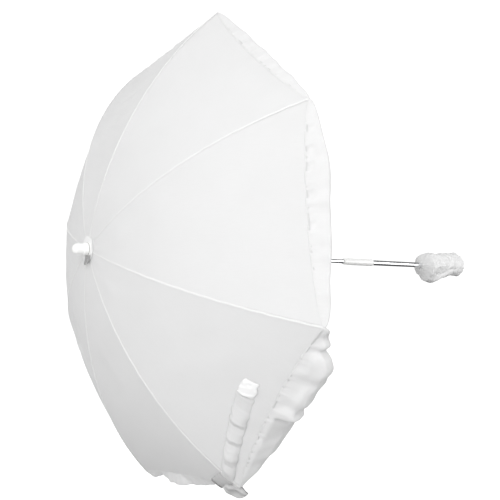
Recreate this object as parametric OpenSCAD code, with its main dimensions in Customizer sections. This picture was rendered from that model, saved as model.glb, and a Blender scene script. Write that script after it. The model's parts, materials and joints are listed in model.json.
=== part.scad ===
// Folding studio umbrella with a telescoping shaft.
// The shaft lies along X with the finial at the low end. The origin is on the shaft's axis,
// in the middle of the bare stretch of the lower tube where a light stand's holder grips it.

/* [Canopy] */
// Length of one rib measured along the cloth, from apex to tip
arc_len = 419; // [395:1:430]
// Angle that one rib's arc turns through, from apex to tip
arc_angle = 45; // [42:0.5:47]
// Turn of the first rib above the horizontal, about the shaft
first_rib_angle = 27.7; // [0:0.1:44]
// Thickness of the cloth solids
cloth_t = 0.9; // [0.6:0.1:1.0]
// Outward bow of a gore between its ribs, as a share of the full sphere
belly = 0.3; // [0:0.05:0.6]
// Width of the gathered frill beyond the hem
frill_w = 20; // [5:1:26]

/* [Frame] */
// Share of the rib's arc at which the stretcher is riveted
rivet_share = 0.42; // [0.40:0.01:0.43]
// Turn of each rib from open to folded
fold_angle = 64; // [60:0.5:65]
// Distance from the notch's pivots to the runner's pivots when open
runner_open = 100; // [90:1:104]
// Radius of the pivot circles in the notch and the runner
pivot_r = 9; // [8.8:0.1:9.4]

/* [Shaft] */
// Outer diameter of the thick lower tube
lower_d = 10; // [9.8:0.1:10.4]
// Outer diameter of the thin upper tube
upper_d = 7; // [6.8:0.1:7.2]
// Distance from the canopy's apex to the start of the collar, extended
collar_start = 497; // [490:1:520]
// Length of the white collar between the two tubes
collar_len = 72; // [60:1:80]
// Distance from the apex to the end of the lower tube
shaft_end = 800; // [790:1:810]
// Distance from the apex to the middle of the grip stretch
grip_from_apex = 620; // [610:1:660]

/* [Soft pieces] */
// Width of the tie strap
strap_w = 25; // [15:1:30]
// Start of the crumpled wrap, from the apex
wrap_start = 698; // [680:1:710]
// Greatest diameter of the wrap
wrap_d = 60; // [40:1:64]

/* [Hidden] */
RIBS = 8;
STEP = 360 / RIBS;
$fn = 64;
EPS = 0.01;

// canopy
sphere_r = arc_len / (arc_angle * PI / 180);
apex_hole_r = 8;
edge_gap = 0.35;        // half of the gap between two gores over a rib
rib_drop = 3.4;          // the ribs' centre line lies this far inside the cloth's middle
rib_line_r = sphere_r - rib_drop;

// ribs
channel_w = 3.2;
channel_h = 3.2;
channel_wall = 0.5;
rib_start_angle = asin(21 / rib_line_r);
rib_end_angle = (arc_len - 9) / sphere_r * 180 / PI;
tab_t = 1;
eye_r = 1.4;
wire_r = 0.5;
eye_bore_r = 0.6;
rivet_r = 0.8;

// pivots, in a rib's own plane: x along the shaft from the apex, y out from the shaft
notch_pivot = [sphere_r - rib_line_r * cos(asin(pivot_r / rib_line_r)), pivot_r];
rivet_angle = rivet_share * arc_angle;
rivet_pivot = [sphere_r - rib_line_r * cos(rivet_angle), rib_line_r * sin(rivet_angle)];
runner_pivot = [notch_pivot.x + runner_open, pivot_r];
stretcher_len = norm(rivet_pivot - runner_pivot);
stretcher_angle = atan2(runner_pivot.y - rivet_pivot.y, runner_pivot.x - rivet_pivot.x);

// travel of the runner: the folded rivet is the open one turned about the notch's pivot
rivet_arm = rivet_pivot - notch_pivot;
rivet_folded = [
    rivet_arm.x * cos(fold_angle) + rivet_arm.y * sin(fold_angle),
    rivet_arm.y * cos(fold_angle) - rivet_arm.x * sin(fold_angle)
];
runner_folded = rivet_folded.x + sqrt(pow(stretcher_len, 2) - pow(rivet_folded.y, 2));
runner_travel = runner_folded - runner_open;

// shaft
upper_r = upper_d / 2;
lower_r = lower_d / 2;
upper_wall = 0.6;
lower_wall = 0.7;
running_gap = 0.03;
neck_cut = 0.3;         // the lower tube is this much thinner under the collar
tube_start = collar_start + 8;
bush_len = 15;
finial_base_x = -1.7;
finial_len = 23.1;
finial_socket = 16;

// notch and runner
crown_r = 12.5;
slot_w = 1.8;
slot_floor_r = 6.9;
notch_top = 1;
notch_len = 10;
sleeve_r = 7;
runner_above = 4.5;
runner_below = 34;
key_w = 2.4;
key_r = 5.7;
thumb_r = 10;
thumb_len = 4;

// catches
catch_len = 11;
catch_w = 1.6;
catch_top = 5.4;
catch_root = 1;
open_catch_x = runner_pivot.x + runner_below + 0.4;
closed_catch_x = open_catch_x + runner_travel;
window_gap = 0.4;

// wrap
wrap_bore_r = 6.2;
wrap_len = 117;

// directions and points

// Direction out from the shaft, in rib i's plane
function out_dir(i) =
    let (turn = first_rib_angle - (i - 1) * STEP)
    [0, -cos(turn), sin(turn)];

// Point on rib i's side of the cloth, s along the arc, lift out from the cloth's middle.
// Past the rib's tip the cloth runs on straight.
function meridian(s, lift) =
    let (
        a = min(s, arc_len) / sphere_r * 180 / PI,
        past = max(0, s - arc_len),
        r = sphere_r + lift
    )
    [sphere_r - r * cos(a) + past * sin(a), r * sin(a) + past * cos(a)];

// Point on gore i, s along the arc and w across it from rib i to the next
function gore_point(i, s, w, lift) =
    let (
        m = meridian(s, lift),
        bow = 1 + belly * 4 * w * (1 - w) * (1 / cos(STEP / 2) - 1),
        out = ((1 - w) * out_dir(i) + w * out_dir(i + 1)) * bow
    )
    [m.x, 0, 0] + m.y * out;

// How far the hem runs past the rib tips, at w across the gore
function hem_past(w) = frill_w * pow(sin(180 * w), 0.4) - 1;

// The closed faces between two grids of points that lie over each other
function grid_faces(rows, cols) =
    let (n = rows * cols)
    concat(
        [for (r = [0:rows - 2], c = [0:cols - 2])
            each quad(r * cols + c, r * cols + c + 1, (r + 1) * cols + c + 1, (r + 1) * cols + c)],
        [for (r = [0:rows - 2], c = [0:cols - 2])
            each quad(n + (r + 1) * cols + c, n + (r + 1) * cols + c + 1,
                      n + r * cols + c + 1, n + r * cols + c)],
        [for (r = [0:rows - 2])
            each quad(r * cols, (r + 1) * cols, n + (r + 1) * cols, n + r * cols)],
        [for (r = [0:rows - 2])
            each quad((r + 1) * cols - 1, n + (r + 1) * cols - 1,
                      n + (r + 2) * cols - 1, (r + 2) * cols - 1)],
        [for (c = [0:cols - 2])
            each quad(c, n + c, n + c + 1, c + 1)],
        [for (c = [0:cols - 2])
            each quad((rows - 1) * cols + c, (rows - 1) * cols + c + 1,
                      n + (rows - 1) * cols + c + 1, n + (rows - 1) * cols + c)]
    );

function quad(a, b, c, d) = [[a, b, c], [a, c, d]];

// placing

module from_apex() {
    translate([-grip_from_apex, 0, 0]) children();
}

// x along the shaft, y out from it, z across the rib's plane
module rib_plane(i) {
    from_apex() rotate([180 - first_rib_angle + (i - 1) * STEP, 0, 0]) children();
}

module along_shaft(x) {
    from_apex() translate([x, 0, 0]) rotate([0, 90, 0]) children();
}

module ring(x, len, r, bore) {
    along_shaft(x) difference() {
        cylinder(r = r, h = len);
        translate([0, 0, -1]) cylinder(r = bore, h = len + 2);
    }
}

// shaft

module lower_tube() {
    neck_end = collar_start + collar_len + 0.5;
    color("lightgray") union() {
        ring(tube_start, neck_end - tube_start, lower_r - neck_cut, lower_r - lower_wall);
        ring(neck_end, shaft_end - neck_end, lower_r, lower_r - lower_wall);
    }
}

module collar() {
    collar_r = 6.3;
    mouth_r = 5;
    color("white") along_shaft(collar_start) difference() {
        rotate_extrude() polygon([
            [0, 0], [mouth_r, 0], [mouth_r + 0.5, 1], [collar_r, 20],
            [collar_r, collar_len - 1], [collar_r - 0.6, collar_len], [0, collar_len]
        ]);
        translate([0, 0, -1]) cylinder(r = upper_r + running_gap, h = 10);
        translate([0, 0, tube_start - collar_start])
            cylinder(r = lower_r - neck_cut, h = collar_len);
    }
}

module guide_bush() {
    color("ivory") ring(tube_start, bush_len, lower_r - lower_wall, upper_r + running_gap);
}

module end_cap() {
    color("white") along_shaft(shaft_end) union() {
        cylinder(r = lower_r - neck_cut, h = 3);
        translate([0, 0, -12]) cylinder(r = lower_r - lower_wall, h = 13);
    }
}

module catch_window(x) {
    from_apex() translate([x - window_gap, -catch_w / 2 - 0.2, 0])
        cube([catch_len + 2 * window_gap, catch_w + 0.4, upper_r + 1]);
}

module upper_tube() {
    tube_top = finial_base_x - finial_socket;
    tube_len = tube_start + 2 * bush_len + 1 - tube_top;
    color("lightgray") difference() {
        ring(tube_top, tube_len, upper_r, upper_r - upper_wall);
        catch_window(open_catch_x);
        catch_window(closed_catch_x);
    }
}

module stop_bush() {
    color("ivory")
        ring(tube_start + bush_len + 1, bush_len, lower_r - lower_wall - running_gap, upper_r);
}

// notch, runner and finial

// Eight slots that the flat ends of ribs or stretchers swing in
module slots(x, len) {
    for (i = [1:RIBS]) {
        rib_plane(i) translate([x, slot_floor_r, -slot_w / 2])
            cube([len, crown_r, slot_w]);
    }
}

// Groove round a slotted crown that the wire lies in
module wire_groove(x) {
    ring(x - wire_r - 0.05, 2 * wire_r + 0.1, crown_r + 1, pivot_r - wire_r - 0.05);
}

module notch() {
    skirt_len = 7;
    color("whitesmoke") difference() {
        union() {
            ring(notch_top, notch_len, crown_r, upper_r);
            ring(notch_top + notch_len - EPS, skirt_len, slot_floor_r - 0.4, upper_r);
        }
        slots(notch_top - 1, notch_len + 2);
        wire_groove(notch_pivot.x);
    }
}

module notch_wire() {
    color("silver") along_shaft(notch_pivot.x)
        rotate_extrude() translate([pivot_r, 0]) circle(r = wire_r);
}

module apex_washer() {
    color("white") ring(-1.3, 0.7, 11, upper_r);
}

module rubber_ring() {
    color("dimgray") ring(finial_base_x, 0.4, 9.6, upper_r);
}

module finial() {
    base_r = 9.4;
    nose_r = 8.2;
    base_len = 7;
    color("white") along_shaft(finial_base_x - finial_len) difference() {
        rotate_extrude() union() {
            translate([0, nose_r]) intersection() {
                circle(r = nose_r);
                translate([0, -nose_r]) square([nose_r, nose_r]);
            }
            translate([0, nose_r - EPS])
                square([nose_r, finial_len - base_len - nose_r + 2 * EPS]);
            translate([0, finial_len - base_len]) polygon([
                [0, 0], [nose_r, 0], [base_r, 1.4], [base_r, base_len], [0, base_len]
            ]);
        }
        translate([0, 0, finial_len - finial_socket]) cylinder(r = upper_r, h = finial_len);
    }
}

module runner() {
    below = runner_pivot.x - runner_above;
    color("whitesmoke") difference() {
        union() {
            ring(below, 2 * runner_above + 1, crown_r, upper_r + running_gap);
            ring(below, runner_above + runner_below, sleeve_r, upper_r + running_gap);
            ring(runner_pivot.x + runner_below - thumb_len, thumb_len, thumb_r,
                 upper_r + running_gap);
        }
        slots_of_runner(below);
        from_apex() translate([below - 1, -key_w / 2, 0])
            cube([runner_above + runner_below + 2, key_w, key_r]);
    }
}

module slots_of_runner(below) {
    for (i = [1:RIBS]) {
        rib_plane(i) translate([below - 1, sleeve_r, -slot_w / 2])
            cube([2 * runner_above + 3, crown_r, slot_w]);
    }
}

// catches: a sprung tongue that stands out of a window in the upper tube

module catch(x) {
    color("silver") from_apex() translate([x, catch_w / 2, 0]) rotate([90, 0, 0])
        linear_extrude(catch_w) polygon([
            [0, catch_root], [0, catch_top], [1.5, catch_top],
            [catch_len, 2.9], [catch_len, catch_root]
        ]);
}

module catch_spring(x) {
    color("gray") from_apex() translate([x, catch_w / 2, 0]) rotate([90, 0, 0])
        linear_extrude(catch_w) polygon([
            [-12, -2.7], [14, -2.7], [14, -2.4], [-9, -2.4],
            [4, catch_root - 0.1], [1, catch_root - 0.1], [-12, -2.2]
        ]);
}

// ribs and stretchers, drawn in the rib's plane

module channel_profile() {
    polygon([
        [-channel_h / 2, -channel_w / 2],
        [-channel_h / 2, -channel_w / 2 + channel_wall],
        [channel_h / 2 - channel_wall, -channel_w / 2 + channel_wall],
        [channel_h / 2 - channel_wall, channel_w / 2 - channel_wall],
        [-channel_h / 2, channel_w / 2 - channel_wall],
        [-channel_h / 2, channel_w / 2],
        [channel_h / 2, channel_w / 2],
        [channel_h / 2, -channel_w / 2]
    ]);
}

module arc_of_rib(from_angle, to_angle) {
    translate([sphere_r, 0, 0]) rotate([0, 0, 180 - to_angle])
        rotate_extrude(angle = to_angle - from_angle) translate([rib_line_r, 0]) children();
}

module rib(i) {
    tab_end = 28;
    color("silver") rib_plane(i) difference() {
        union() {
            arc_of_rib(rib_start_angle, rib_end_angle) channel_profile();
            translate([notch_pivot.x - 1.35, notch_pivot.y, -tab_t / 2])
                cube([2.55, tab_end - notch_pivot.y, tab_t]);
            translate([notch_pivot.x, notch_pivot.y, -tab_t / 2]) cylinder(r = eye_r, h = tab_t);
        }
        translate([notch_pivot.x, notch_pivot.y, -2]) cylinder(r = eye_bore_r, h = 4);
        translate([rivet_pivot.x, rivet_pivot.y, -3]) cylinder(r = rivet_r, h = 6);
    }
}

module rib_tip(i) {
    sleeve_outer = 2.35;
    bead_r = 2.4;
    tip_angle = arc_len / sphere_r * 180 / PI;
    socket_angle = rib_end_angle - 9 / sphere_r * 180 / PI;
    color("white") rib_plane(i) difference() {
        union() {
            arc_of_rib(socket_angle, tip_angle) circle(r = sleeve_outer);
            translate([sphere_r - rib_line_r * cos(tip_angle), rib_line_r * sin(tip_angle), 0])
                sphere(r = bead_r);
        }
        arc_of_rib(socket_angle - 1, rib_end_angle)
            square([channel_h, channel_w], center = true);
    }
}

module rivet(i) {
    shank = 6;
    head_t = 0.5;
    color("gray") rib_plane(i) translate([rivet_pivot.x, rivet_pivot.y, 0]) union() {
        translate([0, 0, -shank / 2]) cylinder(r = rivet_r, h = shank);
        translate([0, 0, shank / 2 - 0.1]) cylinder(r = 1.7, h = head_t);
        translate([0, 0, 0.1 - shank / 2 - head_t]) cylinder(r = 1.7, h = head_t);
    }
}

module stretcher(i) {
    ear_in = channel_w / 2 + 0.25;
    ear_t = 0.8;
    ear_r = 1.7;
    fork_len = 12;
    crotch_len = 5;
    bar = 2.6;
    tab_len = 14;
    color("silver") rib_plane(i) translate([rivet_pivot.x, rivet_pivot.y, 0])
        rotate([0, 0, stretcher_angle]) difference() {
            union() {
                for (side = [-1, 1]) {
                    translate([0, 0, side * (ear_in + ear_t / 2) - ear_t / 2]) {
                        cylinder(r = ear_r, h = ear_t);
                        translate([0, -ear_r, 0]) cube([fork_len + 1, 2 * ear_r, ear_t]);
                    }
                }
                translate([fork_len, -ear_r, -ear_in - ear_t])
                    cube([crotch_len, 2 * ear_r, 2 * (ear_in + ear_t)]);
                translate([fork_len + 1, -bar / 2, -bar / 2])
                    cube([stretcher_len - fork_len - tab_len, bar, bar]);
                translate([stretcher_len - tab_len - 2, -1.1, -tab_t / 2])
                    cube([tab_len + 2, 2.2, tab_t]);
                translate([stretcher_len, 0, -tab_t / 2]) cylinder(r = eye_r, h = tab_t);
            }
            translate([0, 0, -5]) cylinder(r = rivet_r + 0.05, h = 10);
            translate([stretcher_len, 0, -5]) cylinder(r = eye_bore_r, h = 10);
            translate([fork_len + crotch_len + 4, -bar, 0.5 - bar / 2])
                cube([stretcher_len - fork_len - crotch_len - tab_len - 10, bar + 0.8, bar - 1]);
        }
}

// cloth

module gore(i) {
    rows = 15;
    cols = 9;
    start = asin(apex_hole_r / sphere_r) * PI / 180 * sphere_r;
    function across(s, c) =
        let (edge = edge_gap / (2 * meridian(s, 0).y * sin(STEP / 2)))
        edge + (1 - 2 * edge) * c / (cols - 1);
    function face_points(lift) = [
        for (r = [0:rows - 1], c = [0:cols - 1])
            let (
                end = arc_len + hem_past(c / (cols - 1)),
                s = start + (end - start) * r / (rows - 1)
            )
            gore_point(i, s, across(s, c), lift)
    ];
    color(i % 2 == 0 ? "gainsboro" : "white") from_apex() polyhedron(
        concat(face_points(-cloth_t / 2), face_points(cloth_t / 2)),
        grid_faces(rows, cols)
    );
}

// The tie strap lies across the second gore, from the third rib's tip
strap_gore = 2;
strap_from = [0.975, 0.945];    // [share across the gore, share along the arc]
strap_to = [0.43, 0.867];

function strap_mid(t) =
    let (p = strap_from + (strap_to - strap_from) * t)
    [p.x, p.y - 0.012 * sin(180 * t)];

module strap() {
    rows = 9;
    cols = 3;
    function face_points(lift) = [
        for (r = [0:rows - 1], c = [0:cols - 1])
            let (p = strap_mid(r / (rows - 1)))
            gore_point(strap_gore, p.y * arc_len + strap_w * (c / (cols - 1) - 0.5), p.x, lift)
    ];
    color("white") from_apex() polyhedron(
        concat(face_points(3), face_points(cloth_t / 2 + 0.4)),
        grid_faces(rows, cols)
    );
}

module strap_tab() {
    tab_r = 12;
    tab_thick = 2;
    w = strap_to.x - 0.045;
    s = strap_to.y * arc_len;
    at = gore_point(strap_gore, s, w, cloth_t / 2 + 0.5);
    away = gore_point(strap_gore, s, w, 10) - at;
    color("snow") from_apex() translate(at)
        rotate([0, acos(away.z / norm(away)), atan2(away.y, away.x)])
        cylinder(r = tab_r, h = tab_thick);
}

module wrap() {
    big = wrap_d / 2;
    color("whitesmoke") along_shaft(wrap_start) rotate_extrude() polygon([
        [wrap_bore_r, 0], [big * 0.6, 0], [big * 0.82, wrap_len * 0.05],
        [big * 0.97, wrap_len * 0.16], [big, wrap_len * 0.34], [big * 0.96, wrap_len * 0.55],
        [big * 0.82, wrap_len * 0.76], [big * 0.6, wrap_len * 0.92], [big * 0.4, wrap_len],
        [0, wrap_len], [0, shaft_end + 4 - wrap_start], [wrap_bore_r, shaft_end + 4 - wrap_start]
    ]);
}

lower_tube();
collar();
guide_bush();
end_cap();
upper_tube();
stop_bush();
notch();
notch_wire();
apex_washer();
rubber_ring();
finial();
runner();
catch(open_catch_x);  // open_catch
catch(closed_catch_x);  // closed_catch
catch_spring(open_catch_x);  // open_catch_spring
catch_spring(closed_catch_x);  // closed_catch_spring
for (i = [1:RIBS]) {
    rib(i);
    rib_tip(i);
    rivet(i);
    stretcher(i);
    gore(i);
}
strap();
strap_tab();
wrap();
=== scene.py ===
"""The looks of a white folding studio umbrella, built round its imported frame.

The shaft lies along X with the canopy's apex at its low end. Gore i runs from rib i to rib i + 1.
A place on the cloth is s, the distance from the apex along a rib's arc, and w, the share of the way
across the gore.
"""

import json
from math import asin, cos, pi, radians, sin, sqrt

import bpy
import numpy as np
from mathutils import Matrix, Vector, noise


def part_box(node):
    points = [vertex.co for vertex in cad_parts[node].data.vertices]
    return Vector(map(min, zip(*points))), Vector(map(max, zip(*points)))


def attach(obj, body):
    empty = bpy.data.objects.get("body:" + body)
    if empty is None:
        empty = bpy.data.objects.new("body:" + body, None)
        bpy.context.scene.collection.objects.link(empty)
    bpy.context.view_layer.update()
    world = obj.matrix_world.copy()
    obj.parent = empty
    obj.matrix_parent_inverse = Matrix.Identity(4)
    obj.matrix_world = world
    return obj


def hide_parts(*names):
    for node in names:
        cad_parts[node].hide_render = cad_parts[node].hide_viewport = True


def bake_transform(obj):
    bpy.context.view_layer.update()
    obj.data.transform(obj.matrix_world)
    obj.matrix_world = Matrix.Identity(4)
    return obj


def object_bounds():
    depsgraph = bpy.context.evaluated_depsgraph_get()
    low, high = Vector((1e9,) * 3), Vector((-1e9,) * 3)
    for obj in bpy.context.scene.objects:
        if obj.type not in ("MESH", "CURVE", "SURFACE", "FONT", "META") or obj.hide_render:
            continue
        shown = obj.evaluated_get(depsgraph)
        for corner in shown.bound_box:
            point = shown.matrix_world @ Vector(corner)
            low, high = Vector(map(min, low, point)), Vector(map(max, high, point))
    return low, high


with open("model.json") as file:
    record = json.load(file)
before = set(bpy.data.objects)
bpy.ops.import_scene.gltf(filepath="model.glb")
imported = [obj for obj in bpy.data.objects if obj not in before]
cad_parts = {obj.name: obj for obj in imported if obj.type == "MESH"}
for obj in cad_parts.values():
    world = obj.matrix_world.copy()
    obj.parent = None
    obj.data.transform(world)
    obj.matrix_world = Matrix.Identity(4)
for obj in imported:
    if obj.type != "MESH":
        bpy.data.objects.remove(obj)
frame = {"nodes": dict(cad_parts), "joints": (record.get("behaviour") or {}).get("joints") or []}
CAD_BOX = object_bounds()
NODES = frame["nodes"]
JOINTS = {j["name"]: j for j in frame["joints"]}

# ---------------------------------------------------------------- sizes, in metres

MM = 0.001
ALONG = np.array([1.0, 0.0, 0.0])     # along the shaft, away from the apex
RIBS = 8
STEP = 2 * pi / RIBS       # the angle from rib to rib
ARC_LEN = 0.419            # cloth along a rib, from apex to tip
ARC_ANGLE = radians(45)    # the angle that a rib's arc turns through
SPHERE_R = ARC_LEN / ARC_ANGLE
RIB_DROP = 3.4 * MM        # the ribs' centre line lies this far inside the cloth
RIB_LINE_R = SPHERE_R - RIB_DROP
APEX_HOLE_R = 8 * MM
APEX_S = SPHERE_R * asin(APEX_HOLE_R / SPHERE_R)     # where the cloth starts, at the hole round the apex
CLOTH_T = 0.3 * MM
HEM_CURVE = 14 * MM        # the hem is cut back this far midway between two rib tips
HEM_OVERLAP = 4 * MM       # the cloth runs on this far under the frill, past its stitches

# how far a gore bows out: 0 is straight from rib to rib, and 1 is as round as the dome
BOW = 0.3
BOW_OF_GORE = {4: 0.5, 5: 0.42, 6: 0.2, 7: -0.1}
BOW_LOST_AT_HEM = 0.85     # the hem is taut, so this share of the bow is gone there

_hinge = Vector(JOINTS["rib_1_hinge"]["pos_m"])
PIVOT_R = sqrt(_hinge.y ** 2 + _hinge.z ** 2)
APEX_X = _hinge.x - (SPHERE_R - RIB_LINE_R * cos(asin(PIVOT_R / RIB_LINE_R)))


# ---------------------------------------------------------------- the canopy's shape

def rib_out(i):
    """The direction out from the shaft in rib i's plane. Rib 9 is rib 1 again."""
    _, y, z = JOINTS[f"rib_{(i - 1) % RIBS + 1}_hinge"]["pos_m"]
    return np.array([0.0, y, z]) / sqrt(y * y + z * z)


def meridian(s, lift):
    """(x from the apex, distance from the shaft) at s along a rib. Past the tip it runs straight on."""
    turn = np.minimum(s, ARC_LEN) / SPHERE_R
    past = np.maximum(0, s - ARC_LEN)
    r = SPHERE_R + lift
    return SPHERE_R - r * np.cos(turn) + past * np.sin(turn), r * np.sin(turn) + past * np.cos(turn)


def on_gore(i, s, w, lift=0.0):
    """Points on gore i, lift metres above it. Where w is past 1 they lie on the next gore."""
    s, w, lift = np.broadcast_arrays(np.asarray(s, float), w, lift)
    x, out = meridian(s, lift)
    outs = np.array([rib_out(i), rib_out(i + 1), rib_out(i + 2)])
    next_gore = (w > 1).astype(int)
    w = w - next_gore
    bow = BOW_OF_GORE.get(i, BOW) * (1 - BOW_LOST_AT_HEM * np.minimum(s / ARC_LEN, 1) ** 4)
    bowed = 1 + bow * 4 * w * (1 - w) * (1 / cos(STEP / 2) - 1)
    across = (1 - w)[..., None] * outs[next_gore] + w[..., None] * outs[next_gore + 1]
    points = (out * bowed)[..., None] * across
    points[..., 0] += APEX_X + x
    return points


def gore_width(s):
    """Straight distance between two ribs at s along them."""
    return 2 * meridian(s, 0.0)[1] * sin(STEP / 2)


def waves(x, lengths, seed):
    """A smooth random curve: one sine for each wavelength, from about -1 to 1."""
    rng = np.random.default_rng(seed)
    sines = [np.sin(2 * pi * x / length + rng.uniform(0, 2 * pi)) for length in lengths]
    return sum(sines) / sqrt(len(lengths))


def bump(x, centre, width):
    """1 at centre, falling smoothly to 0 at a distance of about twice the width."""
    return np.exp(-((x - centre) / width) ** 2)


def smooth_step(x):
    """0 up to 0, 1 from 1, and a smooth rise in between."""
    x = np.clip(x, 0, 1)
    return x * x * (3 - 2 * x)


def around(turn, at, wide):
    """A bump round the shaft, centred on the angle at."""
    return np.exp((np.cos(turn - at) - 1) / wide ** 2)


def unit(vectors):
    """Each vector at length 1."""
    return vectors / np.linalg.norm(vectors, axis=-1, keepdims=True)


# ---------------------------------------------------------------- meshes

def make_mesh(name, points, faces, material, uv=None, smooth=None):
    """A mesh object. uv is each point's place on the flat cloth, smooth the number of smooth faces."""
    mesh = bpy.data.meshes.new(name)
    corners = [tuple(p) for p in np.reshape(points, (-1, 3))]
    mesh.from_pydata(corners, [], [tuple(map(int, f)) for f in faces])
    smooth = len(faces) if smooth is None else smooth
    mesh.polygons.foreach_set("use_smooth", np.arange(len(mesh.polygons)) < smooth)
    if uv is not None:
        layer = mesh.uv_layers.new(name="cloth")
        vertex = np.zeros(len(mesh.loops), np.int32)
        mesh.loops.foreach_get("vertex_index", vertex)
        layer.data.foreach_set("uv", np.reshape(uv, (-1, 2))[vertex].astype(np.float32).ravel())
    mesh.materials.append(material)
    mesh.validate()
    obj = bpy.data.objects.new(name, mesh)
    bpy.context.scene.collection.objects.link(obj)
    return obj


def grid_faces(rows, cols, closed=False, first=0, flip=False):
    """Quads of a grid of points. A closed grid joins its last column to its first."""
    r, c = np.meshgrid(np.arange(rows - 1), np.arange(cols if closed else cols - 1), indexing="ij")
    here, right = r * cols + c, r * cols + (c + 1) % cols
    quads = np.stack([here, right, right + cols, here + cols], -1).reshape(-1, 4) + first
    return quads[:, ::-1] if flip else quads


def thin_sheet(name, outer, inner, material, uv=None, closed=False):
    """A thin closed solid between two grids of points that lie over each other."""
    rows, cols = outer.shape[:2]
    n = rows * cols
    number = np.arange(n).reshape(rows, cols)
    edges = [number[0, :], number[-1, ::-1]]
    if not closed:
        edges += [number[::-1, 0], number[:, -1]]
    faces = [grid_faces(rows, cols, closed), grid_faces(rows, cols, closed, n, flip=True)]
    smooth = 2 * len(faces[0])                  # the cut edges stay crisp
    for edge in edges:
        a, b = (edge, np.roll(edge, -1)) if closed else (edge[:-1], edge[1:])
        faces.append(np.stack([b, a, a + n, b + n], -1))
    both = np.concatenate([outer.reshape(-1, 3), inner.reshape(-1, 3)])
    uvs = None if uv is None else np.concatenate([uv.reshape(-1, 2)] * 2)
    return make_mesh(name, both, np.concatenate(faces), material, uvs, smooth)


def tube(name, path, radius, sides, material, flat=1.0, up=None):
    """A round or oval tube along a path of points. flat is its height, along up, over its width."""
    path = np.asarray(path, float)
    ahead = unit(np.gradient(path, axis=0))
    if up is None:
        steep = abs(ahead[0, 2]) >= 0.9
        up = np.tile([0.0, 1.0, 0.0] if steep else [0.0, 0.0, 1.0], (len(path), 1))
    side = unit(np.cross(ahead, up))
    top = np.cross(side, ahead)
    turn = np.linspace(0, 2 * pi, sides, endpoint=False)
    size = np.broadcast_to(radius, len(path))[:, None, None]
    wide, high = np.cos(turn)[None, :, None], flat * np.sin(turn)[None, :, None]
    points = path[:, None] + size * (wide * side[:, None] + high * top[:, None])
    count = len(path) * sides
    faces = [tuple(f) for f in grid_faces(len(path), sides, closed=True)]
    faces += [tuple(range(sides))[::-1], tuple(range(count - sides, count))]
    return make_mesh(name, points, faces, material)


def join(name, objects):
    """One object from several, with the first one's material."""
    with bpy.context.temp_override(active_object=objects[0], selected_editable_objects=objects):
        bpy.ops.object.join()
    objects[0].name = objects[0].data.name = name
    return objects[0]


# ---------------------------------------------------------------- materials

class Nodes:
    """A material's node tree, with a short way to add and link nodes."""

    def __init__(self, name):
        """A new material, or a new world where name is None."""
        data = bpy.data.materials.new(name) if name else bpy.data.worlds.new("studio")
        self.material = data
        data.use_nodes = True
        self.tree = data.node_tree
        self.tree.nodes.clear()
        self.out = self.add("ShaderNodeOutputMaterial" if name else "ShaderNodeOutputWorld")

    def add(self, kind, inputs=(), **settings):
        node = self.tree.nodes.new(kind)
        for key, value in settings.items():
            setattr(node, key, value)
        for key, value in dict(inputs).items():
            if isinstance(value, bpy.types.NodeSocket):
                self.tree.links.new(value, node.inputs[key])
            else:
                node.inputs[key].default_value = value
        return node

    def place(self, uv_map=None):
        """Coordinates in metres: on the flat cloth, or in the object's own space."""
        if uv_map:
            return self.add("ShaderNodeUVMap", uv_map=uv_map).outputs["UV"]
        return self.add("ShaderNodeTexCoord").outputs["Object"]

    def noise(self, place, scale, detail=4.0, stretch=None):
        if stretch:
            place = self.add("ShaderNodeMapping", {"Vector": place, "Scale": stretch}).outputs["Vector"]
        node = self.add("ShaderNodeTexNoise", {"Vector": place, "Scale": scale, "Detail": detail})
        return node.outputs["Fac"]

    def between(self, value, low, high, start=0.0, end=1.0):
        """low where value is up to start, high where it is from end, and in proportion in between."""
        node = self.add("ShaderNodeMapRange", {
            "Value": value, "From Min": start, "From Max": end, "To Min": low, "To Max": high})
        return node.outputs["Result"]

    def tint(self, factor, low, high):
        """A colour between two colours."""
        ends = {"A": (*low, 1.0), "B": (*high, 1.0)}
        return self.add("ShaderNodeMix", {"Factor": factor, **ends}, data_type="RGBA").outputs["Result"]

    def mix(self, factor, first, second):
        """The first shader where factor is 0, the second where it is 1."""
        inputs = {0: factor, 1: first.outputs[0], 2: second.outputs[0]}
        return self.add("ShaderNodeMixShader", inputs)

    def bump(self, height, strength, distance, normal=None):
        inputs = {"Height": height, "Strength": strength, "Distance": distance}
        if normal:
            inputs["Normal"] = normal
        return self.add("ShaderNodeBump", inputs).outputs["Normal"]

    def finish(self, shader):
        self.tree.links.new(shader.outputs[0], self.out.inputs["Surface"])
        return self.material


def weave_height(n, place, pitch):
    """Height of a plain weave: threads both ways, the pitch apart."""
    split = n.add("ShaderNodeSeparateXYZ", {"Vector": place})
    threads = []
    for axis in "XY":
        inputs = {0: split.outputs[axis], 1: 2 * pi / pitch}
        turns = n.add("ShaderNodeMath", inputs, operation="MULTIPLY")
        threads.append(n.add("ShaderNodeMath", {0: turns.outputs[0]}, operation="SINE").outputs[0])
    crossing = n.add("ShaderNodeMath", {0: threads[0], 1: threads[1]}, operation="MULTIPLY")
    return n.between(crossing.outputs[0], 0.0, 1.0)


def grey(value):
    return (value, value, value)


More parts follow.
